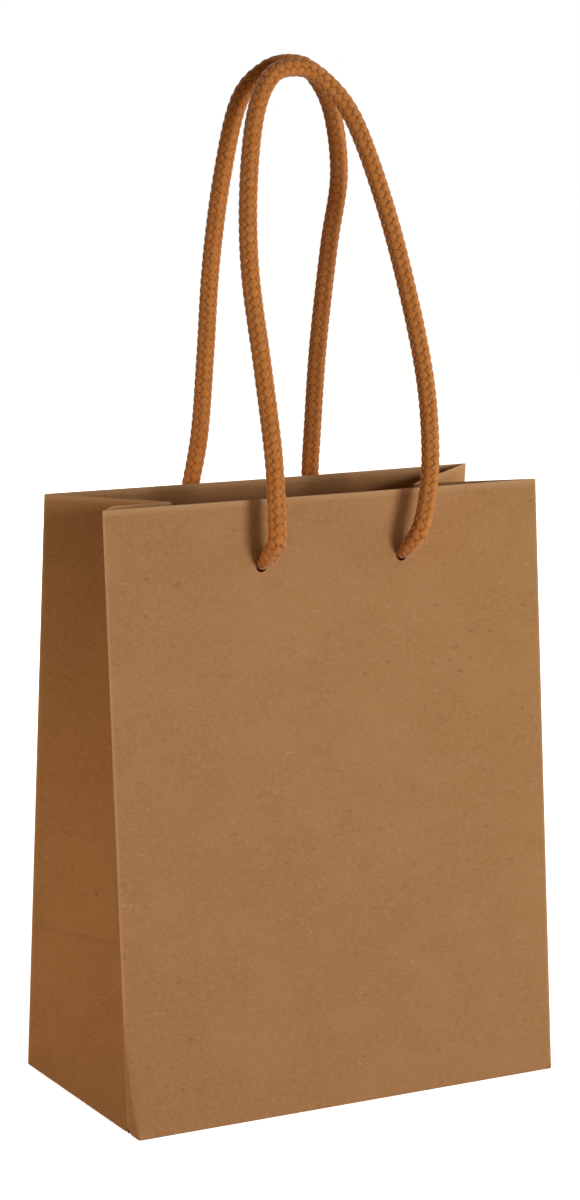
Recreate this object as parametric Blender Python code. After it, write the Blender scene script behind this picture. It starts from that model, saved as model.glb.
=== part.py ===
"""Small brown paper carrier bag with two braided cord handles, standing open."""

import math

import bmesh
import bpy
from mathutils import Vector

MM = 0.001

# The sheet, folded to a base and a tube with pushed-in sides
PAPER = 0.25 * MM
SAME_PLACE = PAPER / 10
BASE_WIDTH = 140 * MM
BASE_DEPTH = 80 * MM
HEIGHT = 180 * MM
PANEL_WIDTH = 144.3 * MM
MOUTH_DEPTH = 40.3 * MM
MOUTH_SHIFT = -3.25 * MM
CORNER_WRAP = 7.8 * MM
CORNER_RISE = 22 * MM
PLAIN_WALL_STEPS = 4

# The folds of each side: a leaning triangle below, a pushed-in centre crease above
APEX_PUSH = 16 * MM
APEX_SHIFT = -4 * MM
GUSSET_DEPTH = 30.7 * MM
GUSSET_TIP_DROP = 1.9 * MM
GUSSET_TIP_SHIFT = -0.6 * MM

# Turned-in hem, glued lap and the flaps of the base
HEM_DEPTH = 34 * MM
LAP_WIDTH = 14 * MM
LAP_INSET = 1.2 * MM
FLAP_OVERLAP = 20 * MM
STEP_RUN = 0.2 * MM

# Holes through both panels, and the cords in them
HOLE_SPACING = 46.5 * MM
HOLE_SHIFT = 1 * MM
HOLE_DROP = 19 * MM
HOLE_CLEARANCE = 0.3 * MM
HOLE_FACETS = 32
CORD_DIAMETER = 5.2 * MM
CORD_BEVEL_RESOLUTION = 3
CORD_BEND = 8.5 * MM
CORD_SLANT = math.radians(45)
CORD_LEAD = 1.5 * MM
CORD_INSIDE = 2.5 * MM
CORD_POINT_SPACING = 5.6 * MM
CURVE_STEPS = 24
NODE_GAP = 0.3 * MM

# Overhand knots: an opened trefoil, in diameters of the cord squeezed by the knot
KNOT_SQUEEZE = 0.7
STRAND_CLEARANCE = 0.05
TREFOIL_RADIUS = 1.25
TREFOIL_WAVE = 0.57
TREFOIL_RISE = 0.6
TREFOIL_OPENING = math.pi / 6
TREFOIL_POINTS = 22
KNOT_POINT_SPACING = 1.2 * MM
KNOT_ENTRY = ((0, 0, 2.65), (0.06, -0.04, 2.3), (0.51, -0.37, 1.73), (1.27, 0.15, 1.19), (1.21, 0.81, 0.87))
KNOT_TAIL = ((1.58, -1.54, -0.96), (2.2, -1.5, -1.4), (2.75, -0.9, -1.7))

KRAFT_PAPER = (0.36, 0.18, 0.07, 1)
KRAFT_ROUGHNESS = 0.85
ORANGE_BROWN_CORD = (0.45, 0.15, 0.03, 1)
CORD_ROUGHNESS = 0.9

# Each cord's route outside the bag, from its left hole over the arch to its right
# hole, in millimetres
FRONT_ROUTE = (
    (-22.2, -34.2, 169.5),
    (-22.0, -33.6, 178),
    (-21.5, -30.6, 194),
    (-22.1, -25.3, 218),
    (-23.1, -19.6, 245),
    (-21.2, -15.0, 268),
    (-16.6, -10.6, 289),
    (-10.0, -8.0, 300),
    (-2.0, -7.6, 302.6),
    (5.6, -8.1, 300),
    (14.9, -10.6, 289),
    (22.2, -15.2, 267),
    (27.5, -20.7, 241),
    (30.8, -26.8, 213),
    (30.2, -31.3, 191),
    (27.4, -33.9, 177),
    (25.2, -34.2, 169.5),
)
BACK_ROUTE = (
    (-20.6, 28.5, 169.5),
    (-18.8, 28.0, 178),
    (-17.1, 25.1, 194),
    (-17.5, 20.2, 218),
    (-18.4, 14.3, 246),
    (-17.4, 8.6, 272),
    (-14.1, 4.3, 293),
    (-6.5, 2.4, 301.8),
    (2.2, 1.9, 303.8),
    (9.6, 2.7, 300.8),
    (17.0, 4.9, 290),
    (21.6, 8.7, 271),
    (20.9, 13.4, 250),
    (20.6, 19.6, 220),
    (21.7, 25.1, 194),
    (22.4, 28.0, 178),
    (23.6, 28.5, 169.5),
)

SIDE_FOLD_HEIGHT = math.sqrt((BASE_DEPTH / 2) ** 2 - APEX_PUSH**2)
WALL_FOOT = 2 * PAPER
FLOOR = 3 * PAPER
HEM_EDGE = HEIGHT - HEM_DEPTH
HOLE_HEIGHT = HEIGHT - HOLE_DROP
HOLE_XS = (HOLE_SHIFT - HOLE_SPACING / 2, HOLE_SHIFT + HOLE_SPACING / 2)
FLAP_LENGTH = (BASE_DEPTH + FLAP_OVERLAP) / 2
LEFT, RIGHT, FRONT, BACK = -1, 1, -1, 1


def clear_scene():
    for thing in list(bpy.data.objects):
        bpy.data.objects.remove(thing, do_unlink=True)


def plain_material(name, colour, roughness):
    material = bpy.data.materials.new(name)
    material.use_nodes = True
    shader = material.node_tree.nodes["Principled BSDF"]
    shader.inputs["Base Color"].default_value = colour
    shader.inputs["Roughness"].default_value = roughness
    shader.inputs["Metallic"].default_value = 0
    material.diffuse_color = colour
    return material


def add_object(name, data, material):
    thing = bpy.data.objects.new(name, data)
    bpy.context.scene.collection.objects.link(thing)
    data.materials.append(material)
    return thing


def rise(height, top=HEIGHT):
    """Share of the way from the foot of the walls to the given top."""
    return (height - WALL_FOOT) / (top - WALL_FOOT)


def base_corner(side, end):
    return Vector((side * BASE_WIDTH / 2, end * BASE_DEPTH / 2, WALL_FOOT))


def crease_wrap(side, end):
    """How far the foot of a vertical crease lies round the base's corner, on the side face."""
    return CORNER_WRAP if side == end else 0


def crease_foot(side, end):
    return base_corner(side, end) - Vector((0, end * crease_wrap(side, end), 0))


def crease_point(side, end, height):
    """A point of the straight fold between a panel and its side."""
    mouth = MOUTH_SHIFT + end * MOUTH_DEPTH / 2
    top = Vector((side * PANEL_WIDTH / 2, mouth, HEIGHT))
    return crease_foot(side, end).lerp(top, rise(height))


def panel_bend(side, end, height):
    """Where the base's corner turns the panel, faded out by CORNER_RISE."""
    wrap = crease_wrap(side, end)
    near = crease_point(side, end, height)
    far = crease_point(-side, end, height)
    flat = near + (far - near).normalized() * wrap
    if height >= CORNER_RISE:
        return flat
    foot = crease_foot(side, end)
    flat_foot = foot + (crease_foot(-side, end) - foot).normalized() * wrap
    return flat + (base_corner(side, end) - flat_foot) * (1 - rise(height, CORNER_RISE))


def side_apex(side):
    return Vector((side * (BASE_WIDTH / 2 - APEX_PUSH), APEX_SHIFT, SIDE_FOLD_HEIGHT))


def centre_crease(side, height):
    """The middle of a side: up the leaning triangle, then up the pushed-in crease."""
    apex = side_apex(side)
    if height <= SIDE_FOLD_HEIGHT:
        foot = Vector((side * BASE_WIDTH / 2, APEX_SHIFT, WALL_FOOT))
        return foot.lerp(apex, rise(height, SIDE_FOLD_HEIGHT))
    tip = Vector((0, MOUTH_SHIFT + GUSSET_TIP_SHIFT, HEIGHT - GUSSET_TIP_DROP))
    tip.x = side * (PANEL_WIDTH / 2 - GUSSET_DEPTH)
    return apex.lerp(tip, (height - SIDE_FOLD_HEIGHT) / (HEIGHT - SIDE_FOLD_HEIGHT))


def side_diagonal(side, end, height):
    """The fold from a base corner up to the apex, and above it the centre crease."""
    if height >= SIDE_FOLD_HEIGHT:
        return centre_crease(side, height)
    return crease_foot(side, end).lerp(side_apex(side), rise(height, SIDE_FOLD_HEIGHT))


def lap_points(height):
    """Both edges of the glued lap, inside the back panel along its left crease."""
    near = crease_point(LEFT, BACK, height)
    along = (crease_point(RIGHT, BACK, height) - near).normalized()
    start = crease_wrap(LEFT, BACK) + LAP_INSET
    end = start + LAP_WIDTH
    return [near + along * reach for reach in (start, start + STEP_RUN, end, end + STEP_RUN)]


def section(height):
    """The sheet's outer line at one height, and the layers glued on inside each point."""
    line = [
        crease_point(RIGHT, FRONT, height),
        panel_bend(RIGHT, FRONT, height),
        panel_bend(LEFT, FRONT, height),
        crease_point(LEFT, FRONT, height),
        side_diagonal(LEFT, FRONT, height),
        centre_crease(LEFT, height),
        side_diagonal(LEFT, BACK, height),
        crease_point(LEFT, BACK, height),
        panel_bend(LEFT, BACK, height),
    ]
    lap_start = len(line)
    line += lap_points(height)
    line += [
        panel_bend(RIGHT, BACK, height),
        crease_point(RIGHT, BACK, height),
        side_diagonal(RIGHT, BACK, height),
        centre_crease(RIGHT, height),
        side_diagonal(RIGHT, FRONT, height),
    ]
    layers = [0] * len(line)
    layers[lap_start + 1] = 1
    layers[lap_start + 2] = 1
    return line, layers


def distinct_neighbour(line, index, step):
    """Direction from a point of a closed line to its next point that lies elsewhere."""
    here = line[index]
    for count in range(1, len(line)):
        there = line[(index + step * count) % len(line)]
        if (there - here).xy.length > SAME_PLACE:
            return (there - here).xy.normalized()
    return Vector((0, 0))


def inner_line(line, thicknesses):
    """The line moved inwards by the sheet's thickness, mitred at its folds."""
    moved = []
    for index, point in enumerate(line):
        before = -distinct_neighbour(line, index, -1)
        after = distinct_neighbour(line, index, 1)
        normal_before = Vector((before.y, -before.x))
        normal_after = Vector((after.y, -after.x))
        mitre = (normal_before + normal_after) / (1 + normal_before.dot(normal_after))
        shift = mitre * thicknesses[index]
        moved.append(point + Vector((shift.x, shift.y, 0)))
    return moved


def add_ring(mesh, line):
    """Vertices along a closed line; points that coincide share one vertex."""
    ring = []
    for point in line:
        met = [vertex for vertex in ring[-1:] + ring[:1] if (vertex.co - point).length < SAME_PLACE]
        ring.append(met[0] if met else mesh.verts.new(point))
    return ring


def distinct(vertices):
    return list(dict.fromkeys(vertices))


def join_rings(mesh, lower, upper):
    count = len(lower)
    for index in range(count):
        following = (index + 1) % count
        corners = distinct((lower[index], lower[following], upper[following], upper[index]))
        if len(corners) > 2:
            mesh.faces.new(corners)


def wall_levels():
    """Heights of the sections, with the layers of paper in the wall at each."""
    fold = SIDE_FOLD_HEIGHT
    plain = [WALL_FOOT, CORNER_RISE / 2, CORNER_RISE, (CORNER_RISE + fold) / 2, fold]
    step = (HEM_EDGE - fold) / PLAIN_WALL_STEPS
    plain += [fold + step * count for count in range(1, PLAIN_WALL_STEPS + 1)]
    hemmed = [HEM_EDGE + STEP_RUN, (HEM_EDGE + HEIGHT) / 2, HEIGHT]
    return [(height, 1) for height in sorted(plain)] + [(height, 2) for height in hemmed]


def nearest(ring, place):
    return min(range(len(ring)), key=lambda index: (ring[index].co - place).length)


def span(ring, first, last):
    """Vertices of the ring from one base corner to another, clockwise from above."""
    start = nearest(ring, base_corner(*first))
    end = nearest(ring, base_corner(*last))
    found = [ring[start]]
    while start != end:
        start = (start + 1) % len(ring)
        found.append(ring[start])
    return found


def sink(mesh, faces, depth):
    """Moves faces straight down, with upright walls round them, and returns them."""
    region = bmesh.ops.extrude_face_region(mesh, geom=faces)["geom"]
    bmesh.ops.delete(mesh, geom=faces, context="FACES")
    moved = [item for item in region if isinstance(item, bmesh.types.BMVert)]
    bmesh.ops.translate(mesh, verts=moved, vec=(0, 0, -depth))
    return [item for item in region if isinstance(item, bmesh.types.BMFace)]


def fold_underside(mesh, ring):
    """The base from below: an end triangle each side, the back flap, the front flap over it."""
    lap = FLAP_OVERLAP / 2
    point_x = (BASE_WIDTH - BASE_DEPTH) / 2
    edge_x = BASE_WIDTH / 2 - FLAP_LENGTH
    right_point = mesh.verts.new((point_x, 0, WALL_FOOT))
    left_point = mesh.verts.new((-point_x, 0, WALL_FOOT))
    right_edge = mesh.verts.new((edge_x, lap, WALL_FOOT))
    left_edge = mesh.verts.new((-edge_x, lap, WALL_FOOT))
    meeting = [right_point, right_edge, left_edge, left_point]
    mesh.faces.new(span(ring, (LEFT, FRONT), (LEFT, BACK)) + [left_point])
    mesh.faces.new(span(ring, (RIGHT, BACK), (RIGHT, FRONT)) + [right_point])
    back_flap = mesh.faces.new(span(ring, (LEFT, BACK), (RIGHT, BACK)) + meeting)
    front_flap = mesh.faces.new(span(ring, (RIGHT, FRONT), (LEFT, FRONT)) + meeting[::-1])
    lowered = sink(mesh, [back_flap, front_flap], PAPER)
    front_flap = min(lowered, key=lambda face: face.calc_center_median().y)
    sink(mesh, [front_flap], PAPER)


def cut_face(face, axis, value):
    """Splits a floor face where its x (axis 0) or y (axis 1) has the value; lower half first."""
    other = 1 - axis
    centre = face.calc_center_bounds()[other]
    crossing = []
    for edge in list(face.edges):
        start, end = edge.verts
        low, high = sorted((start.co[axis], end.co[axis]))
        if low < value < high:
            share = (value - start.co[axis]) / (end.co[axis] - start.co[axis])
            crossing.append(bmesh.utils.edge_split(edge, start, share)[1])
    crossing.sort(key=lambda vertex: vertex.co[other] > centre)
    new_face = bmesh.utils.face_split(face, crossing[0], crossing[-1])[0]
    return sorted((face, new_face), key=lambda half: half.calc_center_bounds()[axis])


def fold_floor(mesh, ring):
    """The base from inside: side flaps on top, between them the back flap, then the front."""
    edge_x = BASE_WIDTH / 2 - FLAP_LENGTH
    floor = mesh.faces.new(ring)
    rest = cut_face(floor, 0, -edge_x)[1]
    middle = cut_face(rest, 0, edge_x)[0]
    front_part, back_part = cut_face(middle, 1, -FLAP_OVERLAP / 2)
    lowered = sink(mesh, [front_part, back_part], PAPER)
    front_part = min(lowered, key=lambda face: face.calc_center_median().y)
    sink(mesh, [front_part], PAPER)


def bag_mesh():
    """The whole sheet as one closed body: walls, rim, underside and floor."""
    mesh = bmesh.new()
    outer_rings = []
    inner_rings = []
    for height, layers in wall_levels():
        line, extra = section(height)
        inner = inner_line(line, [PAPER * (layers + more) for more in extra])
        if height == WALL_FOOT:
            inner = [Vector((point.x, point.y, FLOOR)) for point in inner]
        outer_rings.append(add_ring(mesh, line))
        inner_rings.append(add_ring(mesh, inner))
    for rings in (outer_rings, inner_rings):
        for lower, upper in zip(rings, rings[1:]):
            join_rings(mesh, lower, upper)
    join_rings(mesh, outer_rings[-1], inner_rings[-1])
    fold_underside(mesh, distinct(outer_rings[0]))
    fold_floor(mesh, distinct(inner_rings[0]))
    bmesh.ops.recalc_face_normals(mesh, faces=mesh.faces)
    data = bpy.data.meshes.new("paper_bag")
    mesh.to_mesh(data)
    mesh.free()
    return data


def hole_cutter(x):
    """A punch that goes through both panels of the bag at once."""
    punch = bmesh.new()
    bmesh.ops.create_cone(
        punch,
        cap_ends=True,
        segments=HOLE_FACETS,
        radius1=CORD_DIAMETER / 2 + HOLE_CLEARANCE,
        radius2=CORD_DIAMETER / 2 + HOLE_CLEARANCE,
        depth=BASE_DEPTH,
    )
    data = bpy.data.meshes.new("hole_punch")
    punch.to_mesh(data)
    punch.free()
    cutter = bpy.data.objects.new("hole_punch", data)
    bpy.context.scene.collection.objects.link(cutter)
    cutter.location = (x, MOUTH_SHIFT, HOLE_HEIGHT)
    cutter.rotation_euler.x = math.pi / 2
    cutter.hide_render = True
    cutter.display_type = "WIRE"
    return cutter


def build_bag(paper):
    bag = add_object("paper_bag", bag_mesh(), paper)
    for x in HOLE_XS:
        punched = bag.modifiers.new("hole", "BOOLEAN")
        punched.operation = "DIFFERENCE"
        punched.solver = "EXACT"
        punched.object = hole_cutter(x)


def panel_y(end, x, height):
    """Where the outer face of the front or back panel lies at a place of it."""
    left = crease_point(LEFT, end, height)
    right = crease_point(RIGHT, end, height)
    return left.y + (right.y - left.y) * (x - left.x) / (right.x - left.x)


def smooth_line(points):
    """Catmull-Rom curve through the points, finely stepped."""
    points = [Vector(point) for point in points]
    ends = [2 * points[0] - points[1], 2 * points[-1] - points[-2]]
    padded = [ends[0], *points, ends[1]]
    line = []
    for index in range(1, len(padded) - 2):
        a, b, c, d = padded[index - 1 : index + 3]
        for step in range(CURVE_STEPS):
            t = step / CURVE_STEPS
            bend = (2 * a - 5 * b + 4 * c - d) * t**2 + (3 * b - a - 3 * c + d) * t**3
            line.append((2 * b + (c - a) * t + bend) / 2)
    return [*line, points[-1]]


def even_points(line, spacing):
    """Points at equal steps along a line, about the given spacing apart."""
    reached = [0.0]
    for start, end in zip(line, line[1:]):
        reached.append(reached[-1] + (end - start).length)
    count = max(2, round(reached[-1] / spacing))
    found = []
    index = 0
    for step in range(count + 1):
        target = reached[-1] * step / count
        while index < len(line) - 2 and reached[index + 1] < target:
            index += 1
        run = reached[index + 1] - reached[index]
        found.append(line[index].lerp(line[index + 1], (target - reached[index]) / run))
    return found


def tube(name, points, radius, material):
    """A round cord with closed ends through the points."""
    curve = bpy.data.curves.new(name, "CURVE")
    curve.dimensions = "3D"
    curve.bevel_depth = radius
    curve.bevel_resolution = CORD_BEVEL_RESOLUTION
    curve.use_fill_caps = True
    spline = curve.splines.new("POLY")
    spline.points.add(len(points) - 1)
    for place, point in zip(spline.points, points):
        place.co = (*point, 1)
    return add_object(name, curve, material)


def hole_lead(end, x):
    """The cord's way out through a hole: its inner end, the paper's face, and the bend up."""
    face = panel_y(end, x, HOLE_HEIGHT)
    out = Vector((0, end, 0))
    start = Vector((x, face, HOLE_HEIGHT))
    straight = start + out * CORD_LEAD
    turned = Vector((0, end * math.sin(CORD_SLANT), 1 - math.cos(CORD_SLANT)))
    bend = straight + turned * CORD_BEND
    return [start - out * CORD_INSIDE, straight, bend]


def build_cord(name, end, route, cord):
    left, right = (hole_lead(end, x) for x in HOLE_XS)
    points = left + [Vector(point) * MM for point in route] + right[::-1]
    points = even_points(smooth_line(points), CORD_POINT_SPACING)
    return tube(name, points, CORD_DIAMETER / 2, cord)


def trefoil_point(angle):
    radius = TREFOIL_RADIUS + TREFOIL_WAVE * math.cos(3 * angle)
    height = TREFOIL_RISE * math.sin(3 * angle)
    return Vector((radius * math.cos(2 * angle), radius * math.sin(2 * angle), height))


def build_knot(name, end, x, cord):
    """An overhand knot behind a hole; its own axis points out through the hole."""
    strand = CORD_DIAMETER * KNOT_SQUEEZE
    sweep = 2 * (math.pi - TREFOIL_OPENING)
    angles = [TREFOIL_OPENING + sweep * step / TREFOIL_POINTS for step in range(TREFOIL_POINTS + 1)]
    shape = [*map(Vector, KNOT_ENTRY), *map(trefoil_point, angles), *map(Vector, KNOT_TAIL)]
    down = Vector((0, 0, -1))
    out = Vector((0, end, 0))
    across = out.cross(down)
    mouth = Vector((x, panel_y(end, x, HOLE_HEIGHT), HOLE_HEIGHT))
    centre = mouth - out * (CORD_INSIDE + NODE_GAP + KNOT_ENTRY[0][2] * strand)
    placed = [centre + strand * (point.x * down + point.y * across + point.z * out) for point in shape]
    points = even_points(smooth_line(placed), KNOT_POINT_SPACING)
    return tube(name, points, strand * (1 - STRAND_CLEARANCE) / 2, cord)


def main():
    clear_scene()
    paper = plain_material("kraft_paper", KRAFT_PAPER, KRAFT_ROUGHNESS)
    cord = plain_material("braided_cord", ORANGE_BROWN_CORD, CORD_ROUGHNESS)
    build_bag(paper)
    build_cord("front_handle", FRONT, FRONT_ROUTE, cord)
    build_cord("back_handle", BACK, BACK_ROUTE, cord)
    for end, end_name in ((FRONT, "front"), (BACK, "back")):
        for x, side_name in zip(HOLE_XS, ("left", "right")):
            build_knot(f"{end_name}_{side_name}_knot", end, x, cord)


main()
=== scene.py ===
"""Small kraft paper carrier bag with two braided cord handles, dressed and lit for its picture."""

import math

import bmesh
import bpy
import numpy as np
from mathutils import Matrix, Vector, noise


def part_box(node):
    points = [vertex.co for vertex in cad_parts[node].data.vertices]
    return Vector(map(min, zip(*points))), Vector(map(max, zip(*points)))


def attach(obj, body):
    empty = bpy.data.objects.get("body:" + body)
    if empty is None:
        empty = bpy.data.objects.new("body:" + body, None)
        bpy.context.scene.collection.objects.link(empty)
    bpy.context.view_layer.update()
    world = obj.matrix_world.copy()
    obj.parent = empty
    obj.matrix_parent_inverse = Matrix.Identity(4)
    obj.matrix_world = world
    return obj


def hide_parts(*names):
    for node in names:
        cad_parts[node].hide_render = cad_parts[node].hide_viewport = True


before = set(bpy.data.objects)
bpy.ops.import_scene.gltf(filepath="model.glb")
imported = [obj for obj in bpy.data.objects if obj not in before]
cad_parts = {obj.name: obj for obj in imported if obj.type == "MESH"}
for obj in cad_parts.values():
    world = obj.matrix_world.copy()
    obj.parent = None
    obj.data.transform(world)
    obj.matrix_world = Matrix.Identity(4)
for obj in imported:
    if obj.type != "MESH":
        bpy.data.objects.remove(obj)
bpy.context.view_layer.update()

MM = 0.001
LEFT, RIGHT, FRONT, BACK = -1, 1, -1, 1

# Camera at the photograph's viewing angle
CAMERA_PLACE = Vector((-431.4, -803.2, 298.9)) * MM
CAMERA_AZIMUTH = math.radians(-28.26)
CAMERA_ELEVATION = math.radians(9.56)
CAMERA_LENS = 92.6
SENSOR_SIDE = 36

# The folded sheet, to the CAD part's sizes, with a softer rise of its two turned corners
BAG_LOW, BAG_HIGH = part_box("paper_bag")
PANEL_WIDTH = BAG_HIGH.x - BAG_LOW.x
BASE_DEPTH = BAG_HIGH.y - BAG_LOW.y
HEIGHT = BAG_HIGH.z
BASE_WIDTH = 140 * MM
PAPER = 0.25 * MM
WALL_FOOT = 2 * PAPER
MOUTH_DEPTH = 40.3 * MM
MOUTH_SHIFT = -3.25 * MM
CORNER_WRAP = 7.8 * MM
CORNER_RISE = 46 * MM
APEX_PUSH = 16 * MM
APEX_SHIFT = -4 * MM
SIDE_FOLD_HEIGHT = math.sqrt((BASE_DEPTH / 2) ** 2 - APEX_PUSH**2)
GUSSET_DEPTH = 30.7 * MM
GUSSET_TIP_DROP = 1.9 * MM
GUSSET_TIP_SHIFT = -0.6 * MM
LIFTED_LIP = 0.95 * MM
LIFTED_LIP_START = 0.15
LIFTED_CORNER = 0.6 * MM
HEM_DEPTH = 34 * MM
FLAP_OVERLAP = 20 * MM
FLAP_LENGTH = (BASE_DEPTH + FLAP_OVERLAP) / 2

# How softly the sheet turns at its folds, as half the length of each bend
CREASE_SOFTNESS = 0.45 * MM
DIAGONAL_SOFTNESS = 0.9 * MM
CORNER_SOFTNESS = 0.5 * MM
CORNER_SPREAD = 0.3
CORNER_ROOM = 0.8
SHARP_FOLD = math.radians(50)

# How finely the sheet is meshed, and the rings that round its foot, by depth and height
PANEL_STEPS = 64
WRAP_STEPS = 8
SIDE_STEPS = 20
DIAGONAL_STEPS = 12
LEVEL_SPACING = 2 * MM
FOOT_LEVELS = [1.6 * MM, 2.3 * MM]
RIM_STEPS = 6
OUTER_FOOT = ((0.8 * MM, 0), (0.25 * MM, 0.06 * MM), (0.05 * MM, 0.3 * MM))
INNER_FOOT = ((0.5 * MM, 3 * PAPER), (1.2 * MM, 2 * PAPER), (1.2 * MM, PAPER / 2))
FLAP_INSET = 1.1 * MM

# Waves, flat folds and wear that making and handling leave in the panels and sides; the pale rim and fold
# lines are partly rubbed wear and partly painted highlight, and the corner feet get painted shade
PANEL_BOW = 0.35 * MM
PANEL_WAVE = 0.22 * MM
PANEL_WAVE_LENGTH = 55 * MM
SIDE_WAVE = 0.35 * MM
SIDE_WAVE_LENGTH = 28 * MM
FLAT_FOLD_HEIGHT = 46 * MM
FLAT_FOLD_DEPTH = 0.8 * MM
FLAT_FOLD_REACH = 7 * MM
FLAT_FOLD_LINE = 0.4 * MM
FLAT_FOLD_LINE_REACH = 0.9 * MM
FLATNESS_AT_CREASE = 7 * MM
FLATNESS_AT_RIM = 12 * MM
# Rim and fold lines painted pale: partly rubbed wear, partly painted highlight
RIM_WEAR_AND_HIGHLIGHT = 1.0 * MM
FOLD_WEAR_AND_HIGHLIGHT_REACH = 1.1 * MM
FOLD_WEAR_AND_HIGHLIGHT_SHARE = 0.6
NOTCH_DEPTH = 1.0 * MM
NOTCH_REACH = 1.1 * MM
# Reach of the painted shade at the corner feet
PAINTED_CORNER_SHADE_REACH = 1.3 * MM

# Holes and cords; each lead gives its steps out of and up from the hole, in millimetres
HOLE_HEIGHT = HEIGHT - 19 * MM
HOLE_XS = (-22.25 * MM, 24.25 * MM)
HOLE_RADIUS = 1.75 * MM
HOLE_SAG = 0.35 * MM
HOLE_FACETS = 48
CORD_DIAMETER = 5.2 * MM
CORD_INSIDE = 2.5 * MM
CORD_LEAD = ((0, 0.25), (3.3, 1.9), (6.7, 4.7))
CORD_FULLNESS = 1.06
HOLE_SQUEEZE = 0.54
HOLE_TAPER = 11 * MM
NODE_GAP = 0.3 * MM
CURVE_STEPS = 24
LINE_SPACING = 0.45 * MM
FRAME_START = (0.31, 0.95, 0.11)

# The braid: strands in both directions, each over two and under two of the others
STRANDS_EACH_WAY = 6
STRAND_COLUMNS = 3
BRAID_LEAD = 15.6 * MM
STRAND_MIDDLE = 0.73
STRAND_WAVE = 0.13
STRAND_HALF_WIDTH = 0.44
STRAND_HALF_THICKNESS = 0.14
STRAND_SIDES = 8
CORE_RADIUS = 0.58
CORE_SIDES = 12

# Overhand knots: an opened trefoil, in diameters of the cord squeezed by the knot
KNOT_SQUEEZE = 0.7
TREFOIL_RADIUS = 1.25
TREFOIL_WAVE = 0.57
TREFOIL_RISE = 0.6
TREFOIL_OPENING = math.pi / 6
TREFOIL_POINTS = 22
KNOT_FULLNESS = 1.06
KNOT_TAPER = 7 * MM
KNOT_ENTRY = (
    (0, 0, 2.65),
    (0.06, -0.04, 2.3),
    (0.51, -0.37, 1.73),
    (1.27, 0.15, 1.19),
    (1.21, 0.81, 0.87),
)
KNOT_TAIL = ((1.58, -1.54, -0.96), (2.2, -1.5, -1.4), (2.75, -0.9, -1.7))

# Each cord's route outside the bag, from its left hole over the arch to its right
# hole, in millimetres, as in the CAD part
FRONT_ROUTE = (
    (-22.2, -34.2, 169.5),
    (-22.0, -33.6, 178),
    (-21.5, -30.6, 194),
    (-22.1, -25.3, 218),
    (-23.1, -19.6, 245),
    (-21.2, -15.0, 268),
    (-16.6, -10.6, 289),
    (-10.0, -8.0, 300),
    (-2.0, -7.6, 302.6),
    (5.6, -8.1, 300),
    (14.9, -10.6, 289),
    (22.2, -15.2, 267),
    (27.5, -20.7, 241),
    (30.8, -26.8, 213),
    (30.2, -31.3, 191),
    (27.4, -33.9, 177),
    (25.2, -34.2, 169.5),
)
BACK_ROUTE = (
    (-20.6, 28.5, 169.5),
    (-18.8, 28.0, 178),
    (-17.1, 25.1, 194),
    (-17.5, 20.2, 218),
    (-18.4, 14.3, 246),
    (-17.4, 8.6, 272),
    (-14.1, 4.3, 293),
    (-6.5, 2.4, 301.8),
    (2.2, 1.9, 303.8),
    (9.6, 2.7, 300.8),
    (17.0, 4.9, 290),
    (21.6, 8.7, 271),
    (20.9, 13.4, 250),
    (20.6, 19.6, 220),
    (21.7, 25.1, 194),
    (22.4, 28.0, 178),
    (23.6, 28.5, 169.5),
)

# Unbleached kraft paper, machine made: brown, matt, with fibres that lie along the web
KRAFT_BROWN = "#A37448"
KRAFT_DARK_GRAIN = "#9A6B40"
KRAFT_LIGHT_GRAIN = "#AC7E53"
KRAFT_DARK_FLECK = "#7C5531"
KRAFT_LIGHT_FLECK = "#C09A70"
# Pale tone for rim and folds: partly rubbed wear, partly painted highlight
KRAFT_WORN_AND_HIGHLIT = "#C8A27A"
# Near-black brown painted as shade at the feet of the lower corners
KRAFT_PAINTED_CORNER_SHADE = "#3B2513"
KRAFT_ROUGHNESS = 0.82
GRAIN_SIZE = 1.3 * MM
DARK_FLECK_LENGTH = 3.2 * MM
LIGHT_FLECK_LENGTH = 2.8 * MM
CLOUD_SIZE = 19 * MM
KRAFT_TOOTH = 0.25 * MM
KRAFT_TOOTH_DEPTH = 0.02 * MM

# Braided polypropylene cord, dyed orange-brown: a little fuzzy, so that it looks soft
CORD_ORANGE_BROWN = "#B86E29"
CORD_SHADOW_BROWN = "#8A481A"
# Painted shade for the furrows where strands dip under their neighbours
CORD_PAINTED_FURROW_SHADE = "#6E340F"
CORD_LIGHT_BROWN = "#C88A52"
CORD_ROUGHNESS = 0.75
YARN_WIDTH = 0.35 * MM
YARN_LENGTH = 2.5 * MM
FUZZ_DEPTH = 0.1 * MM

# Studio: a soft key lamp from the front, weaker warm fills round the bag, a dim warm room.
# Each lamp has its name, place, height aimed at, size, spread in degrees, watts and colour
ROOM_COLOUR = "#FFDCA0"
ROOM_LIGHT = 0.11
LAMPS = (
    ("front_softbox", (0.27, -1.7, 0.3), 0.12, 0.5, 180, 19.2, "#FAFFFF"),
    ("low_left_fill", (-1.2, 0.05, 0.05), 0.035, 0.25, 21, 0.14, "#FFE4B6"),
    ("right_fill", (1.2, -0.1, 0.2), 0.12, 0.6, 180, 7.3, "#FFF3DC"),
    ("back_fill", (0.2, 1.3, 0.6), 0.12, 0.6, 180, 13, "#FFF3DC"),
)
FLOOR_REACH = 4
FLOOR_COLOUR = "#F2F2F2"
FLOOR_GLOW = 0.95


def linear(hex_colour):
    """An sRGB hex colour as the linear RGBA that Blender's sockets take."""
    parts = [int(hex_colour[place : place + 2], 16) / 255 for place in (1, 3, 5)]
    return (*(c / 12.92 if c <= 0.04045 else ((c + 0.055) / 1.055) ** 2.4 for c in parts), 1)


def link_object(name, data):
    thing = bpy.data.objects.new(name, data)
    bpy.context.scene.collection.objects.link(thing)
    return thing


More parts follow.
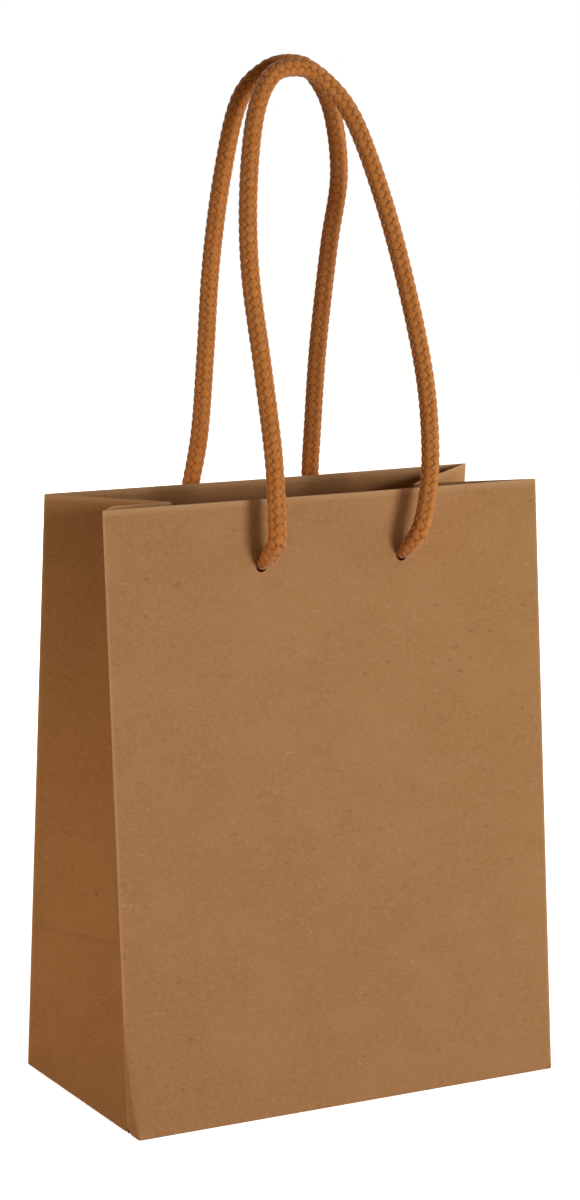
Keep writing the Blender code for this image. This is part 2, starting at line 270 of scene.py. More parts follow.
def make_camera():
    data = bpy.data.cameras.new("camera")
    data.sensor_fit = "VERTICAL"
    data.sensor_height = SENSOR_SIDE
    data.sensor_width = SENSOR_SIDE
    data.lens = CAMERA_LENS
    camera = link_object("camera", data)
    camera.location = CAMERA_PLACE
    camera.rotation_euler = (math.pi / 2 - CAMERA_ELEVATION, 0, CAMERA_AZIMUTH)
    bpy.context.scene.camera = camera


# Cords


def smooth_line(points):
    """Catmull-Rom curve through the points, finely stepped."""
    points = [Vector(point) for point in points]
    padded = [2 * points[0] - points[1], *points, 2 * points[-1] - points[-2]]
    line = []
    for index in range(1, len(padded) - 2):
        a, b, c, d = padded[index - 1 : index + 3]
        for step in range(CURVE_STEPS):
            t = step / CURVE_STEPS
            bend = (2 * a - 5 * b + 4 * c - d) * t**2 + (3 * b - a - 3 * c + d) * t**3
            line.append((2 * b + (c - a) * t + bend) / 2)
    return [*line, points[-1]]


def even_line(points):
    """The smooth line as an array of points at even steps, and the distance to each."""
    line = np.array(smooth_line(points))
    reached = np.concatenate(([0], np.cumsum(np.linalg.norm(np.diff(line, axis=0), axis=1))))
    count = max(2, round(reached[-1] / LINE_SPACING))
    along = np.linspace(0, reached[-1], count + 1)
    return np.stack([np.interp(along, reached, line[:, axis]) for axis in range(3)], axis=1), along


def unit(vectors):
    return vectors / np.linalg.norm(vectors, axis=-1, keepdims=True)


def line_frames(line):
    """Directions along and across a line, without twist."""
    ahead = unit(np.gradient(line, axis=0))
    across = np.zeros_like(line)
    across[0] = unit(np.cross(ahead[0], FRAME_START))
    for index in range(1, len(line)):
        across[index] = unit(across[index - 1] - ahead[index] * across[index - 1].dot(ahead[index]))
    return ahead, across, np.cross(ahead, across)


def sleeve(centres, sideways, outwards, half_width, half_thickness, sides):
    """Vertices and faces of a closed oval tube along the centres."""
    turn = np.linspace(0, 2 * math.pi, sides, endpoint=False)
    ring = sideways[:, None] * (np.cos(turn)[None, :, None] * half_width[:, None, None])
    ring = ring + outwards[:, None] * (np.sin(turn)[None, :, None] * half_thickness[:, None, None])
    vertices = (centres[:, None] + ring).reshape(-1, 3)
    faces = []
    for row in range(len(centres) - 1):
        start = row * sides
        for place in range(sides):
            beside = (place + 1) % sides
            faces.append((start + place, start + beside, start + sides + beside, start + sides + place))
    last = (len(centres) - 1) * sides
    faces.append(tuple(range(sides))[::-1])
    faces.append(tuple(range(last, last + sides)))
    return vertices, faces


def braided_mesh(name, line, along, radius):
    """A round braid: flat strands that wind both ways round a core and pass over and under."""
    _, across, beside = line_frames(line)
    half = radius[:, None]
    vertices, faces, shades, heights = [], [], [], []
    count = 0

    def add(part, shade, height):
        nonlocal count
        points, polygons = part
        vertices.append(points)
        faces.extend(tuple(corner + count for corner in polygon) for polygon in polygons)
        shades.append(np.full(len(points), shade))
        heights.append(np.repeat(height, len(points) // len(line)))
        count += len(points)

    core = radius * CORE_RADIUS
    add(sleeve(line, across, beside, core, core, CORE_SIDES), 0, np.zeros(len(line)))
    width, thickness = radius * STRAND_HALF_WIDTH, radius * STRAND_HALF_THICKNESS
    for way in (1, -1):
        for strand in range(STRANDS_EACH_WAY):
            shade = (strand + 1) / (STRANDS_EACH_WAY + 1)
            angle = way * 2 * math.pi * along / BRAID_LEAD + 2 * math.pi * strand / STRANDS_EACH_WAY
            wave = way * np.cos(STRAND_COLUMNS * angle - math.pi / 4)
            out = across * np.cos(angle)[:, None] + beside * np.sin(angle)[:, None]
            centres = line + out * half * (STRAND_MIDDLE + STRAND_WAVE * wave[:, None])
            forward = unit(np.gradient(centres, axis=0))
            side = unit(np.cross(out, forward))
            outward = unit(np.cross(forward, side))
            add(sleeve(centres, side, outward, width, thickness, STRAND_SIDES), shade, wave)
    mesh = bpy.data.meshes.new(name)
    mesh.from_pydata(np.concatenate(vertices).tolist(), [], faces)
    mesh.attributes.new("strand", "FLOAT", "POINT").data.foreach_set("value", np.concatenate(shades))
    # The strands' rise and dip are kept as "height", which sets the painted furrow shade
    mesh.attributes.new("height", "FLOAT", "POINT").data.foreach_set("value", np.concatenate(heights))
    mesh.shade_smooth()
    mesh.update()
    return mesh


def crease_foot(side, end):
    """Where the fold between a panel and its side meets the base, turned round the corner."""
    return np.array((side * BASE_WIDTH / 2, end * (BASE_DEPTH / 2 - crease_wrap(side, end))))


def crease_wrap(side, end):
    return CORNER_WRAP if side == end else 0


def rise(height, top=HEIGHT):
    return (height - WALL_FOOT) / (top - WALL_FOOT)


def between(start, end, share):
    return start + (end - start) * share


def crease_point(side, end, height):
    top = np.array((side * PANEL_WIDTH / 2, MOUTH_SHIFT + end * MOUTH_DEPTH / 2))
    return between(crease_foot(side, end), top, rise(height))


def panel_y(end, x, height):
    """Where the outer face of the front or back panel lies at a place of it."""
    left, right = crease_point(LEFT, end, height), crease_point(RIGHT, end, height)
    return left[1] + (right[1] - left[1]) * (x - left[0]) / (right[0] - left[0])


def hole_lead(end, x):
    """The cord's slanting way out through a hole, from its inner end past the paper's face."""
    hole = Vector((x, panel_y(end, x, HOLE_HEIGHT), HOLE_HEIGHT))
    inside = hole - Vector((0, end * CORD_INSIDE, 0))
    return [inside, *(hole + Vector((0, end * out, up)) * MM for out, up in CORD_LEAD)]


def cord_radius(along):
    """The soft cord's radius, pinched where it goes through its two holes."""
    near = np.minimum(along, along[-1] - along)
    pinch = HOLE_SQUEEZE + (CORD_FULLNESS - HOLE_SQUEEZE) * fade(near, HOLE_TAPER)
    return CORD_DIAMETER / 2 * pinch


def trefoil_point(angle):
    radius = TREFOIL_RADIUS + TREFOIL_WAVE * math.cos(3 * angle)
    height = TREFOIL_RISE * math.sin(3 * angle)
    return Vector((radius * math.cos(2 * angle), radius * math.sin(2 * angle), height))


def knot_points(end, x):
    """The line of an overhand knot behind a hole; its own axis points out through the hole."""
    strand = CORD_DIAMETER * KNOT_SQUEEZE
    sweep = 2 * (math.pi - TREFOIL_OPENING)
    angles = [TREFOIL_OPENING + sweep * step / TREFOIL_POINTS for step in range(TREFOIL_POINTS + 1)]
    shape = [*map(Vector, KNOT_ENTRY), *map(trefoil_point, angles), *map(Vector, KNOT_TAIL)]
    down = Vector((0, 0, -1))
    out = Vector((0, end, 0))
    across = out.cross(down)
    mouth = Vector((x, panel_y(end, x, HOLE_HEIGHT), HOLE_HEIGHT))
    centre = mouth - out * (CORD_INSIDE + NODE_GAP + KNOT_ENTRY[0][2] * strand)
    return [centre + strand * (point.x * down + point.y * across + point.z * out) for point in shape]


def add_knot(name, end, x, material):
    """A tied cord end: pinched where it comes in from the hole and at its tip, fuller in the knot."""
    line, along = even_line(knot_points(end, x))
    pinched = CORD_DIAMETER / 2 * HOLE_SQUEEZE
    tied = CORD_DIAMETER / 2 * KNOT_SQUEEZE * KNOT_FULLNESS
    swell = np.clip(along / KNOT_TAPER, 0, 1) * np.clip((along[-1] - along) / KNOT_TAPER, 0, 1)
    radius = between(pinched, tied, swell)
    knot = link_object(f"{name}_braid", braided_mesh(name, line, along, radius))
    knot.data.materials.append(material)
    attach(knot, "root")
    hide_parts(name)
    return knot


def add_cord(name, end, route, material):
    """One handle: the cord outside the bag, and its two knots inside."""
    left, right = (hole_lead(end, x) for x in HOLE_XS)
    line, along = even_line(left + [Vector(point) * MM for point in route] + right[::-1])
    cord = link_object(f"{name}_handle_braid", braided_mesh(name, line, along, cord_radius(along)))
    cord.data.materials.append(material)
    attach(cord, "root")
    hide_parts(f"{name}_handle")
    knots = [
        add_knot(f"{name}_{side}_knot", end, x, material) for x, side in zip(HOLE_XS, ("left", "right"))
    ]


# The folded sheet


def corner_share(height):
    """How much of the base corner's turn is left at a height: all at the foot, easing out to none."""
    return max(0, 1 - height / CORNER_RISE) ** 2


def panel_bend(side, end, height):
    """Where the panel turns round the base's corner; above the turn it is the crease itself."""
    corner = np.array((side * BASE_WIDTH / 2, end * BASE_DEPTH / 2))
    return crease_point(side, end, height) + (corner - crease_foot(side, end)) * corner_share(height)


def side_apex(side):
    return np.array((side * (BASE_WIDTH / 2 - APEX_PUSH), APEX_SHIFT))


def centre_crease(side, height):
    """The middle of a side: up the leaning triangle, then up the pushed-in crease."""
    if height <= SIDE_FOLD_HEIGHT:
        foot = np.array((side * BASE_WIDTH / 2, APEX_SHIFT))
        return between(foot, side_apex(side), rise(height, SIDE_FOLD_HEIGHT))
    tip = np.array((side * (PANEL_WIDTH / 2 - GUSSET_DEPTH), MOUTH_SHIFT + GUSSET_TIP_SHIFT))
    return between(side_apex(side), tip, (height - SIDE_FOLD_HEIGHT) / (HEIGHT - SIDE_FOLD_HEIGHT))


def side_diagonal(side, end, height):
    """The fold from a base corner up to the apex, and above it the centre crease."""
    if height >= SIDE_FOLD_HEIGHT:
        return centre_crease(side, height)
    return between(crease_foot(side, end), side_apex(side), rise(height, SIDE_FOLD_HEIGHT))


def sheet_corners(height):
    """The sheet's outer line at one height, seen from above, with each fold's softness."""
    corners = []

    def panel_end(side, end):
        room = CORNER_ROOM * crease_wrap(side, end) * corner_share(height)
        softness = max(CREASE_SOFTNESS, min(CORNER_SOFTNESS + CORNER_SPREAD * height, room))
        corners.append((panel_bend(side, end, height), softness))

    def side_folds(side, ends):
        first, last = ends
        corners.append((crease_point(side, first, height), CREASE_SOFTNESS))
        corners.append((side_diagonal(side, first, height), DIAGONAL_SOFTNESS))
        corners.append((centre_crease(side, height), CREASE_SOFTNESS))
        corners.append((side_diagonal(side, last, height), DIAGONAL_SOFTNESS))
        corners.append((crease_point(side, last, height), CREASE_SOFTNESS))

    panel_end(RIGHT, FRONT)
    panel_end(LEFT, FRONT)
    side_folds(LEFT, (FRONT, BACK))
    panel_end(LEFT, BACK)
    panel_end(RIGHT, BACK)
    side_folds(RIGHT, (BACK, FRONT))
    return np.array([corner for corner, _ in corners]), np.array([soft for _, soft in corners])


# Steps from each corner of the section to the next, in the order of sheet_corners
SIDE_RUN = [SIDE_STEPS, DIAGONAL_STEPS, DIAGONAL_STEPS, SIDE_STEPS]
RUN_STEPS = [PANEL_STEPS, WRAP_STEPS, *SIDE_RUN, WRAP_STEPS] * 2
PANEL_RUNS = (0, 7)
SIDE_RUNS = (2, 3, 4, 5, 9, 10, 11, 12)
SIDE_FIRST_RUNS = (2, 9)
LIFTED_RUNS = (2, 3)
UPPER_FOLDS = [2, 4, 6, 9, 11, 13]
LOWER_FOLDS = [2, 6, 9, 13]


def inset(corners, depth):
    """The section's corners moved inwards, mitred at the folds."""
    if not depth:
        return corners
    count = len(corners)
    moved = corners.copy()
    for index in range(count):
        ways = []
        for step in (-1, 1):
            reach = step
            while np.linalg.norm(corners[(index + reach) % count] - corners[index]) < PAPER / 10:
                reach += step
            ways.append(step * unit(corners[(index + reach) % count] - corners[index]))
        before, after = (np.array((way[1], -way[0])) for way in ways)
        moved[index] = corners[index] + depth * (before + after) / (1 + before.dot(after))
    return moved


def softened(corners, softness):
    """Points along the section, with each fold rounded by averaging over its softness."""
    closed = np.concatenate((corners, corners[:1]))
    runs = np.linalg.norm(np.diff(closed, axis=0), axis=1)
    reached = np.concatenate(([0], np.cumsum(runs)))
    soft_closed = np.concatenate((softness, softness[:1]))
    places, softs = [], []
    for index, steps in enumerate(RUN_STEPS):
        share = (1 - np.cos(np.linspace(0, math.pi, steps + 1)[:-1])) / 2
        places.append(reached[index] + runs[index] * share)
        softs.append(between(soft_closed[index], soft_closed[index + 1], share))
    places, softs = np.concatenate(places), np.concatenate(softs)
    total = reached[-1]
    knots = np.concatenate((reached[:-1] - total, reached[:-1], reached + total))
    knots, kept = np.unique(knots, return_index=True)
    table = np.concatenate((corners, corners, closed))[kept]
    steps = np.diff(knots)[:, None]
    area = np.concatenate((np.zeros((1, 2)), np.cumsum((table[:-1] + table[1:]) / 2 * steps, axis=0)))

    def integral(place):
        index = np.clip(np.searchsorted(knots, place) - 1, 0, len(knots) - 2)
        run = (place - knots[index])[:, None]
        slope = (table[index + 1] - table[index]) / steps[index]
        return area[index] + table[index] * run + slope * run**2 / 2

    return (integral(places + softs) - integral(places - softs)) / (2 * softs[:, None])


def fade(distance, reach):
    share = np.clip(distance / reach, 0, 1)
    return share * share * (3 - 2 * share)


def nearest(points, others):
    """How far each point is from the nearest of the others."""
    return np.min(np.linalg.norm(points[:, None] - others[None], axis=2), axis=1)


def roughness(points, folds):
    """How freely the sheet may wave at each point: not at all on its folds."""
    return fade(nearest(points, folds), FLATNESS_AT_CREASE)


def relief(ring, height):
    """How far the sheet stands out from its flat folds at each point of a ring."""
    offsets = np.zeros(len(ring))
    place = 0
    for run, steps in enumerate(RUN_STEPS):
        points = ring[place : place + steps]
        if run in PANEL_RUNS:
            rough = roughness(points, ring[[place, (place + steps) % len(ring)]])
            share = np.linspace(0, 1, steps)
            bow = PANEL_BOW * np.sin(math.pi * share) * math.sin(math.pi * height / HEIGHT)
            waves = [slow_wave(point, height, PANEL_WAVE_LENGTH, run) for point in points]
            offsets[place : place + steps] = rough * (bow + PANEL_WAVE * np.array(waves))
        elif run in SIDE_RUNS:
            first = sum(RUN_STEPS[: max(start for start in SIDE_FIRST_RUNS if start <= run)])
            halfway = first + SIDE_STEPS + DIAGONAL_STEPS
            last = (halfway + SIDE_STEPS + DIAGONAL_STEPS) % len(ring)
            rough = roughness(points, ring[[first, halfway, last]])
            waves = np.array([slow_wave(point, height, SIDE_WAVE_LENGTH, run) for point in points])
            across = (height - FLAT_FOLD_HEIGHT) / FLAT_FOLD_REACH
            fold = -FLAT_FOLD_DEPTH * math.exp(-across * across)
            line = (height - FLAT_FOLD_HEIGHT) / FLAT_FOLD_LINE_REACH
            fold -= FLAT_FOLD_LINE * math.exp(-line * line)
            offsets[place : place + steps] = rough * (SIDE_WAVE * waves + fold)
        place += steps
    return offsets * fade(height, FLATNESS_AT_CREASE) * fade(HEIGHT - height, FLATNESS_AT_RIM)


def corner_notch(outer, z):
    """The small gap that the base's folds leave at the foot of each turned corner."""
    near = nearest(outer, np.array([crease_foot(end, end) for end in (FRONT, BACK)]))
    return -NOTCH_DEPTH * np.exp(-(near**2 + z**2) / NOTCH_REACH**2)


def slow_wave(point, height, length, seed):
    return noise.noise(Vector((point[0] / length, point[1] / length + seed, height / length)))


def ring_normals(ring):
    """Directions out of the sheet at each point of a ring."""
    ahead = np.roll(ring, -1, axis=0) - np.roll(ring, 1, axis=0)
    length = np.linalg.norm(ahead, axis=1, keepdims=True)
    return np.stack((-ahead[:, 1], ahead[:, 0]), axis=1) / np.maximum(length, PAPER / 100)


def sheet_ring(height, depth=0, z=None):
    """One closed line of the sheet's skin, at a height and a depth below its outer face."""
    corners, softness = sheet_corners(max(height, WALL_FOOT))
    outer = softened(corners, softness)
    ring = softened(inset(corners, depth), softness)
    z = height if z is None else z
    offsets = relief(outer, height) + corner_notch(outer, z)
    ring = ring + ring_normals(outer) * offsets[:, None]
    return np.column_stack((ring, z - rim_drop(outer, z)))


def rim_drop(outer, z):
    """How far the sheet lies below its rim's level: pushed-in creases sink, two corners lift."""
    share = max(0, (z - HEIGHT + HEM_DEPTH) / HEM_DEPTH)
    drop = np.zeros(len(outer))
    if not share:
        return drop
    inwards = np.clip((PANEL_WIDTH / 2 - np.abs(outer[:, 0])) / GUSSET_DEPTH, 0, 1)
    place = 0
    for run, steps in enumerate(RUN_STEPS):
        here = slice(place, place + steps)
        if run in SIDE_RUNS:
            drop[here] = GUSSET_TIP_DROP * inwards[here]
        if run in LIFTED_RUNS:
            drop[here] -= LIFTED_LIP * fade(inwards[here], LIFTED_LIP_START) * (1 - inwards[here])
        place += steps
    corner = crease_point(RIGHT, BACK, HEIGHT)
    near = np.linalg.norm(outer - corner, axis=1) / PANEL_WIDTH
    return share * (drop - LIFTED_CORNER * np.clip(1 - 2 * near, 0, 1))


def wall_heights():
    """The levels of the sheet's rings, with extra ones where it turns or folds."""
    count = round((HEIGHT - 2 * PAPER) / LEVEL_SPACING)
    heights = np.linspace(4 * PAPER, HEIGHT - PAPER, count)
    line = [FLAT_FOLD_HEIGHT + step * FLAT_FOLD_LINE_REACH / 2 for step in range(-4, 5)]
    key = [CORNER_RISE, SIDE_FOLD_HEIGHT, HEIGHT - HEM_DEPTH, *FOOT_LEVELS, *line]
    heights = [height for height in heights if min(abs(height - k) for k in key) > LEVEL_SPACING / 5]
    return sorted(heights + key)


def sheet_rings():
    """All rings in order: up the outside, over the rim, down the hem, down the inside, the foot."""
    heights = wall_heights()
    hem_edge = HEIGHT - HEM_DEPTH
    rings = [sheet_ring(0, depth, z) for depth, z in OUTER_FOOT]
    rings += [sheet_ring(height) for height in heights]
    for step in range(1, RIM_STEPS):
        angle = math.pi * step / RIM_STEPS
        z = HEIGHT - PAPER + PAPER * math.sin(angle)
        rings.append(sheet_ring(HEIGHT - PAPER, PAPER * (1 - math.cos(angle)), z))
    rings += [sheet_ring(height, 2 * PAPER) for height in heights[::-1] if height >= hem_edge]
    rings += [sheet_ring(height, PAPER) for height in heights[::-1] if height <= hem_edge]
    return rings + [sheet_ring(0, depth, z) for depth, z in INNER_FOOT]


def fold_wear_and_highlight(rings):
    """How pale the sheet is painted at each vertex, partly as rubbed wear and partly as painted
    highlight: most along its rim, then on its folds.
    """
    wear_and_highlight = []
    starts = np.cumsum([0, *RUN_STEPS])
    rim_line = np.max([ring[:, 2] for ring in rings], axis=0)
    for ring in rings:
        folds = ring[starts[UPPER_FOLDS if ring[0, 2] > SIDE_FOLD_HEIGHT else LOWER_FOLDS]]
        near = nearest(ring[:, :2], folds[:, :2])
        rim = np.clip(1 - (rim_line - ring[:, 2]) / RIM_WEAR_AND_HIGHLIGHT, 0, 1)
        wear_and_highlight.append(np.maximum(FOLD_WEAR_AND_HIGHLIGHT_SHARE * np.clip(1 - near / FOLD_WEAR_AND_HIGHLIGHT_REACH, 0, 1), rim))
    return np.concatenate(wear_and_highlight)


def painted_corner_shade_mask(rings):
    """Painted shade at the feet of the bag's lower corners."""
    points = np.concatenate(rings)
    feet = [(*crease_foot(side, end), 0) for side in (LEFT, RIGHT) for end in (FRONT, BACK)]
    return np.exp(-((nearest(points, np.array(feet)) / PAINTED_CORNER_SHADE_REACH) ** 2))


def slab(outline, low, high):
    """Vertices and faces of a flat flap of paper."""
    count = len(outline)
    vertices = [(x, y, z) for z in (low, high) for x, y in outline]
    faces = [tuple(range(count))[::-1], tuple(range(count, 2 * count))]
    for place in range(count):
        beside = (place + 1) % count
        faces.append((place, beside, count + beside, count + place))
    return vertices, faces


def base_flaps():
    """The folded base, from below: front flap, back flap, and a flap from each side on top."""
    x, y = BASE_WIDTH / 2 - FLAP_INSET, BASE_DEPTH / 2 - FLAP_INSET
    point_x, lap = (BASE_WIDTH - BASE_DEPTH) / 2, FLAP_OVERLAP / 2
    edge_x = BASE_WIDTH / 2 - FLAP_LENGTH
    front = [(-x, -y), (x, -y), (point_x, 0), (edge_x, lap), (-edge_x, lap), (-point_x, 0)]
    back = [(x, y), (-x, y), (-edge_x, -lap), (edge_x, -lap)]
    flaps = [slab(front, 0, PAPER), slab(back, PAPER, 2 * PAPER)]
    for side in (LEFT, RIGHT):
        corners = [(side * edge_x, -y), (side * x, -y), (side * x, y), (side * edge_x, y)]
        flaps.append(slab(corners if side == RIGHT else corners[::-1], 2 * PAPER, 3 * PAPER))
    return flaps


def bag_mesh():
    """The sheet and its base flaps as one mesh, marked where its rim and folds are painted pale (partly
    wear, partly highlight) and where its corner feet get painted shade.
    """
    rings = sheet_rings()
    width = len(rings[0])
    vertices = np.concatenate(rings).tolist()
    # Masks for the pale rim and folds (partly wear, partly painted highlight) and for the painted corner
    # shade
    marks = {"wear_and_highlight": fold_wear_and_highlight(rings).tolist(), "painted_corner_shade": painted_corner_shade_mask(rings).tolist()}
    faces = []
    for row in range(len(rings)):
        start, above = row * width, (row + 1) % len(rings) * width
        for place in range(width):
            beside = (place + 1) % width
            faces.append((start + beside, start + place, above + place, above + beside))
    for points, polygons in base_flaps():
        faces += [tuple(corner + len(vertices) for corner in polygon) for polygon in polygons]
        vertices += points
        for mark in marks.values():
            mark += [0.0] * len(points)
    mesh = bpy.data.meshes.new("folded_sheet")
    mesh.from_pydata(vertices, [], faces)
    for mark, values in marks.items():
        mesh.attributes.new(mark, "FLOAT", "POINT").data.foreach_set("value", values)
    work = bmesh.new()
    work.from_mesh(mesh)
    bmesh.ops.remove_doubles(work, verts=work.verts, dist=PAPER / 50)
    bmesh.ops.recalc_face_normals(work, faces=work.faces)
    work.to_mesh(mesh)
    work.free()
    return mesh


def hole_punch(x):
    """A rod that cuts the holes of both panels at one place across the bag."""
    punch = bmesh.new()
    bmesh.ops.create_cone(
        punch,
        cap_ends=True,
        segments=HOLE_FACETS,
        radius1=HOLE_RADIUS,
        radius2=HOLE_RADIUS,
        depth=BASE_DEPTH,
    )
    data = bpy.data.meshes.new("hole_punch")
    punch.to_mesh(data)
    punch.free()
    cutter = link_object("hole_punch", data)
    cutter.location = (x, MOUTH_SHIFT, HOLE_HEIGHT - HOLE_SAG)
    cutter.rotation_euler.x = math.pi / 2
    return cutter


def add_bag(material):
    bag = link_object("folded_paper_bag", bag_mesh())
    cutters = [hole_punch(x) for x in HOLE_XS]
    for cutter in cutters:
        punched = bag.modifiers.new("hole", "BOOLEAN")
        punched.operation = "DIFFERENCE"
        punched.solver = "EXACT"
        punched.object = cutter
    bpy.context.view_layer.update()
    done = bpy.data.meshes.new_from_object(bag.evaluated_get(bpy.context.evaluated_depsgraph_get()))
    bag.modifiers.clear()
    bag.data = done
    for cutter in cutters:
        bpy.data.objects.remove(cutter)
    done.materials.clear()
    done.materials.append(material)
    done.shade_smooth()
    done.set_sharp_from_angle(angle=SHARP_FOLD)
    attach(bag, "root")
    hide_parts("paper_bag")


# Materials


def add_node(tree, kind, settings=None, links=None):
    """A node with its properties and socket values set, and its inputs linked."""
    node = tree.nodes.new(kind)
    for key, value in (settings or {}).items():
        if isinstance(key, int) or key in node.inputs:
            node.inputs[key].default_value = value
        else:
            setattr(node, key, value)
    for key, source in (links or {}).items():
        tree.links.new(source, node.inputs[key])
    return node


def new_material(name):
    """A material with an empty tree, its Principled shader linked to the output."""
    material = bpy.data.materials.new(name)
    material.use_nodes = True
    tree = material.node_tree
    return material, tree, tree.nodes["Principled BSDF"]


def sized_noise(tree, across, up, detail=3):
    """Noise in the object's own space, with features of the given sizes across and up the bag."""
    place = add_node(tree, "ShaderNodeTexCoord").outputs["Object"]
    scale = (1 / across, 1 / across, 1 / up)
    mapped = add_node(tree, "ShaderNodeMapping", {"Scale": scale}, {"Vector": place}).outputs[0]
    settings = {"Scale": 1, "Detail": detail, "Roughness": 0.6}
    return add_node(tree, "ShaderNodeTexNoise", settings, {"Vector": mapped}).outputs["Fac"]


def tinted(tree, colour, source, low, high, tint, amount, ease="SMOOTHSTEP"):
    """The colour with a tint laid over it, the more so as the source goes from low to high."""
    settings = {"From Min": low, "From Max": high, "To Max": amount, "interpolation_type": ease}
    share = add_node(tree, "ShaderNodeMapRange", settings, {"Value": source}).outputs["Result"]
    settings, links = {"data_type": "RGBA", 7: linear(tint)}, {0: share}
    (settings if isinstance(colour, tuple) else links)[6] = colour
    return add_node(tree, "ShaderNodeMix", settings, links).outputs[2]


def kraft_paper():
    """Unbleached kraft: fine grain, a few dark and pale flecks, soft clouds, a pale rim and folds that
    are partly rubbed wear and partly painted highlight, and painted shade at the corner feet.
    """
    material, tree, shader = new_material("kraft_paper")
    grain = sized_noise(tree, GRAIN_SIZE, GRAIN_SIZE * 0.7, 4)
    clouds = sized_noise(tree, CLOUD_SIZE, CLOUD_SIZE * 0.8)
    dark_flecks = sized_noise(tree, DARK_FLECK_LENGTH, DARK_FLECK_LENGTH * 0.45, 1)
    pale_flecks = sized_noise(tree, LIGHT_FLECK_LENGTH, LIGHT_FLECK_LENGTH * 0.5, 1)
    colour = linear(KRAFT_BROWN)
    for source, low, high, tint, amount in (
        (grain, 0.5, 0.34, KRAFT_DARK_GRAIN, 0.6),
        (grain, 0.5, 0.66, KRAFT_LIGHT_GRAIN, 0.6),
        (clouds, 0.4, 0.68, KRAFT_LIGHT_GRAIN, 0.4),
        (dark_flecks, 0.67, 0.84, KRAFT_DARK_FLECK, 0.5),
        (pale_flecks, 0.68, 0.86, KRAFT_LIGHT_FLECK, 0.45),
    ):
        colour = tinted(tree, colour, source, low, high, tint, amount)
    # Pale rim and folds (partly wear, partly painted highlight), then painted shade at the corner feet
    for mark, tint, amount in (("wear_and_highlight", KRAFT_WORN_AND_HIGHLIT, 0.55), ("painted_corner_shade", KRAFT_PAINTED_CORNER_SHADE, 0.8)):
        strength = add_node(tree, "ShaderNodeAttribute", {"attribute_name": mark}).outputs["Fac"]
        colour = tinted(tree, colour, strength, 0, 1, tint, amount, "LINEAR")
    tree.links.new(colour, shader.inputs["Base Color"])
    tooth = sized_noise(tree, KRAFT_TOOTH * 2, KRAFT_TOOTH, 2)
    settings = {"Strength": 0.2, "Distance": KRAFT_TOOTH_DEPTH}
    bump = add_node(tree, "ShaderNodeBump", settings, {"Height": tooth})
    tree.links.new(bump.outputs["Normal"], shader.inputs["Normal"])
    shader.inputs["Roughness"].default_value = KRAFT_ROUGHNESS
    shader.inputs["Specular IOR Level"].default_value = 0.3
    return material


def braided_cord():
    """Dyed braid: each strand a little different, pale loose yarns, and painted shade in the furrows
    where strands dip under.
    """
    material, tree, shader = new_material("braided_cord")
    strand = add_node(tree, "ShaderNodeAttribute", {"attribute_name": "strand"}).outputs["Fac"]
    height = add_node(tree, "ShaderNodeAttribute", {"attribute_name": "height"}).outputs["Fac"]
    yarns = sized_noise(tree, YARN_WIDTH * 2, YARN_LENGTH)
    specks = sized_noise(tree, YARN_WIDTH * 3, YARN_WIDTH * 3)
    colour = linear(CORD_ORANGE_BROWN)
    colour = tinted(tree, colour, strand, 0, 1, CORD_LIGHT_BROWN, 0.25, "LINEAR")
    colour = tinted(tree, colour, yarns, 0.5, 0.3, CORD_SHADOW_BROWN, 0.5)
    colour = tinted(tree, colour, specks, 0.55, 0.7, CORD_LIGHT_BROWN, 0.6)
    # Painted shade: darker where a strand dips under the others
    colour = tinted(tree, colour, height, 0.8, 0.05, CORD_PAINTED_FURROW_SHADE, 0.85)
    tree.links.new(colour, shader.inputs["Base Color"])
    bump = add_node(tree, "ShaderNodeBump", {"Strength": 0.4, "Distance": FUZZ_DEPTH}, {"Height": specks})
    tree.links.new(bump.outputs["Normal"], shader.inputs["Normal"])
    shader.inputs["Roughness"].default_value = CORD_ROUGHNESS
    shader.inputs["Specular IOR Level"].default_value = 0.2
    shader.inputs["Sheen Weight"].default_value = 0.2
    shader.inputs["Sheen Roughness"].default_value = 0.5
    return material


# Studio


def shown_directly(tree):
    """1 for what the camera, a mirror or a glass sees, else 0."""
    path = add_node(tree, "ShaderNodeLightPath")
    seen = path.outputs["Is Camera Ray"]
    for other in ("Is Glossy Ray", "Is Transmission Ray"):
        both = {0: seen, 1: path.outputs[other]}
        seen = add_node(tree, "ShaderNodeMath", {"operation": "MAXIMUM"}, both).outputs[0]
    return seen


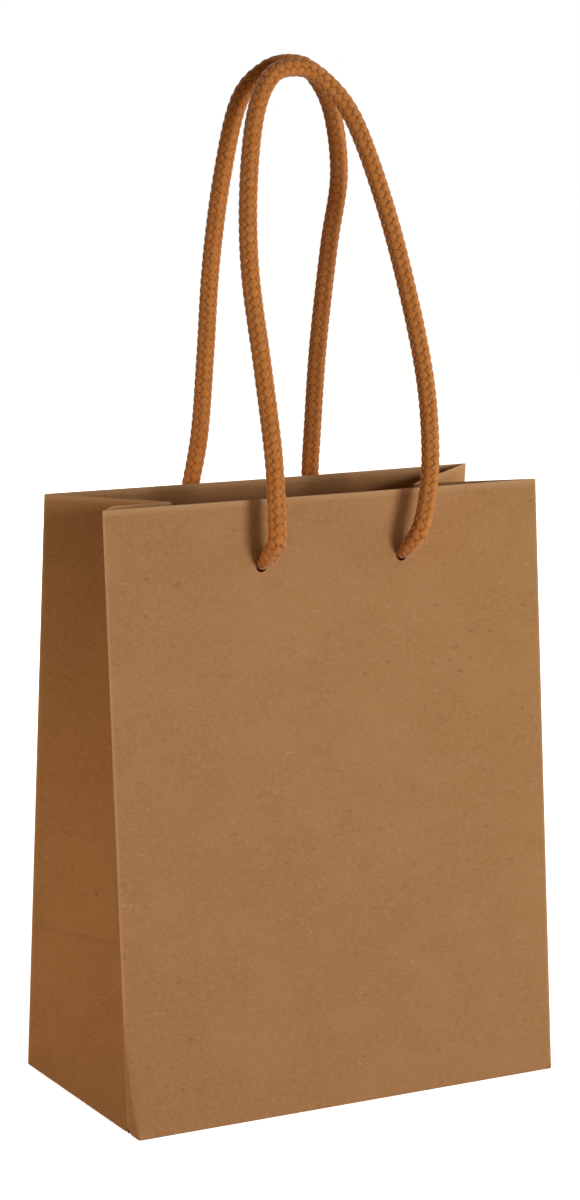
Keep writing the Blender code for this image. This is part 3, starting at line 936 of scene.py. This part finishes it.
def make_room():
    world = bpy.data.worlds.new("pale_room")
    bpy.context.scene.world = world
    world.use_nodes = True
    tree = world.node_tree
    background = tree.nodes["Background"]
    seen = shown_directly(tree)
    settings = {"data_type": "RGBA", 6: linear(ROOM_COLOUR), 7: (1, 1, 1, 1)}
    colour = add_node(tree, "ShaderNodeMix", settings, {0: seen})
    tree.links.new(colour.outputs[2], background.inputs["Color"])
    settings = {"To Min": ROOM_LIGHT, "To Max": 1}
    strength = add_node(tree, "ShaderNodeMapRange", settings, {"Value": seen})
    tree.links.new(strength.outputs["Result"], background.inputs["Strength"])


def make_floor():
    data = bpy.data.meshes.new("floor")
    corners = [(x * FLOOR_REACH, y * FLOOR_REACH, 0) for x, y in ((-1, -1), (1, -1), (1, 1), (-1, 1))]
    data.from_pydata(corners, [], [(0, 1, 2, 3)])
    floor = link_object("floor", data)
    material, tree, shader = new_material("matt_white_floor")
    shader.inputs["Base Color"].default_value = linear(FLOOR_COLOUR)
    shader.inputs["Roughness"].default_value = 1
    shader.inputs["Specular IOR Level"].default_value = 0
    shader.inputs["Emission Color"].default_value = (1, 1, 1, 1)
    seen = shown_directly(tree)
    glow = add_node(tree, "ShaderNodeMath", {"operation": "MULTIPLY", 1: FLOOR_GLOW}, {0: seen})
    tree.links.new(glow.outputs[0], shader.inputs["Emission Strength"])
    data.materials.append(material)


def make_lamps():
    """Square softboxes, each turned to a height on the bag's middle and opened to its spread."""
    for name, place, aim, size, spread, power, colour in LAMPS:
        data = bpy.data.lights.new(name, "AREA")
        data.shape = "SQUARE"
        data.size = size
        data.spread = math.radians(spread)
        data.energy = power
        data.color = linear(colour)[:3]
        lamp = link_object(name, data)
        lamp.location = place
        lamp.rotation_euler = (Vector((0, 0, aim)) - Vector(place)).to_track_quat("-Z", "Y").to_euler()


make_camera()
cord_finish = braided_cord()
add_cord("front", FRONT, FRONT_ROUTE, cord_finish)
add_cord("back", BACK, BACK_ROUTE, cord_finish)
add_bag(kraft_paper())
make_room()
make_floor()
make_lamps()
bpy.context.scene.view_settings.view_transform = "Standard"
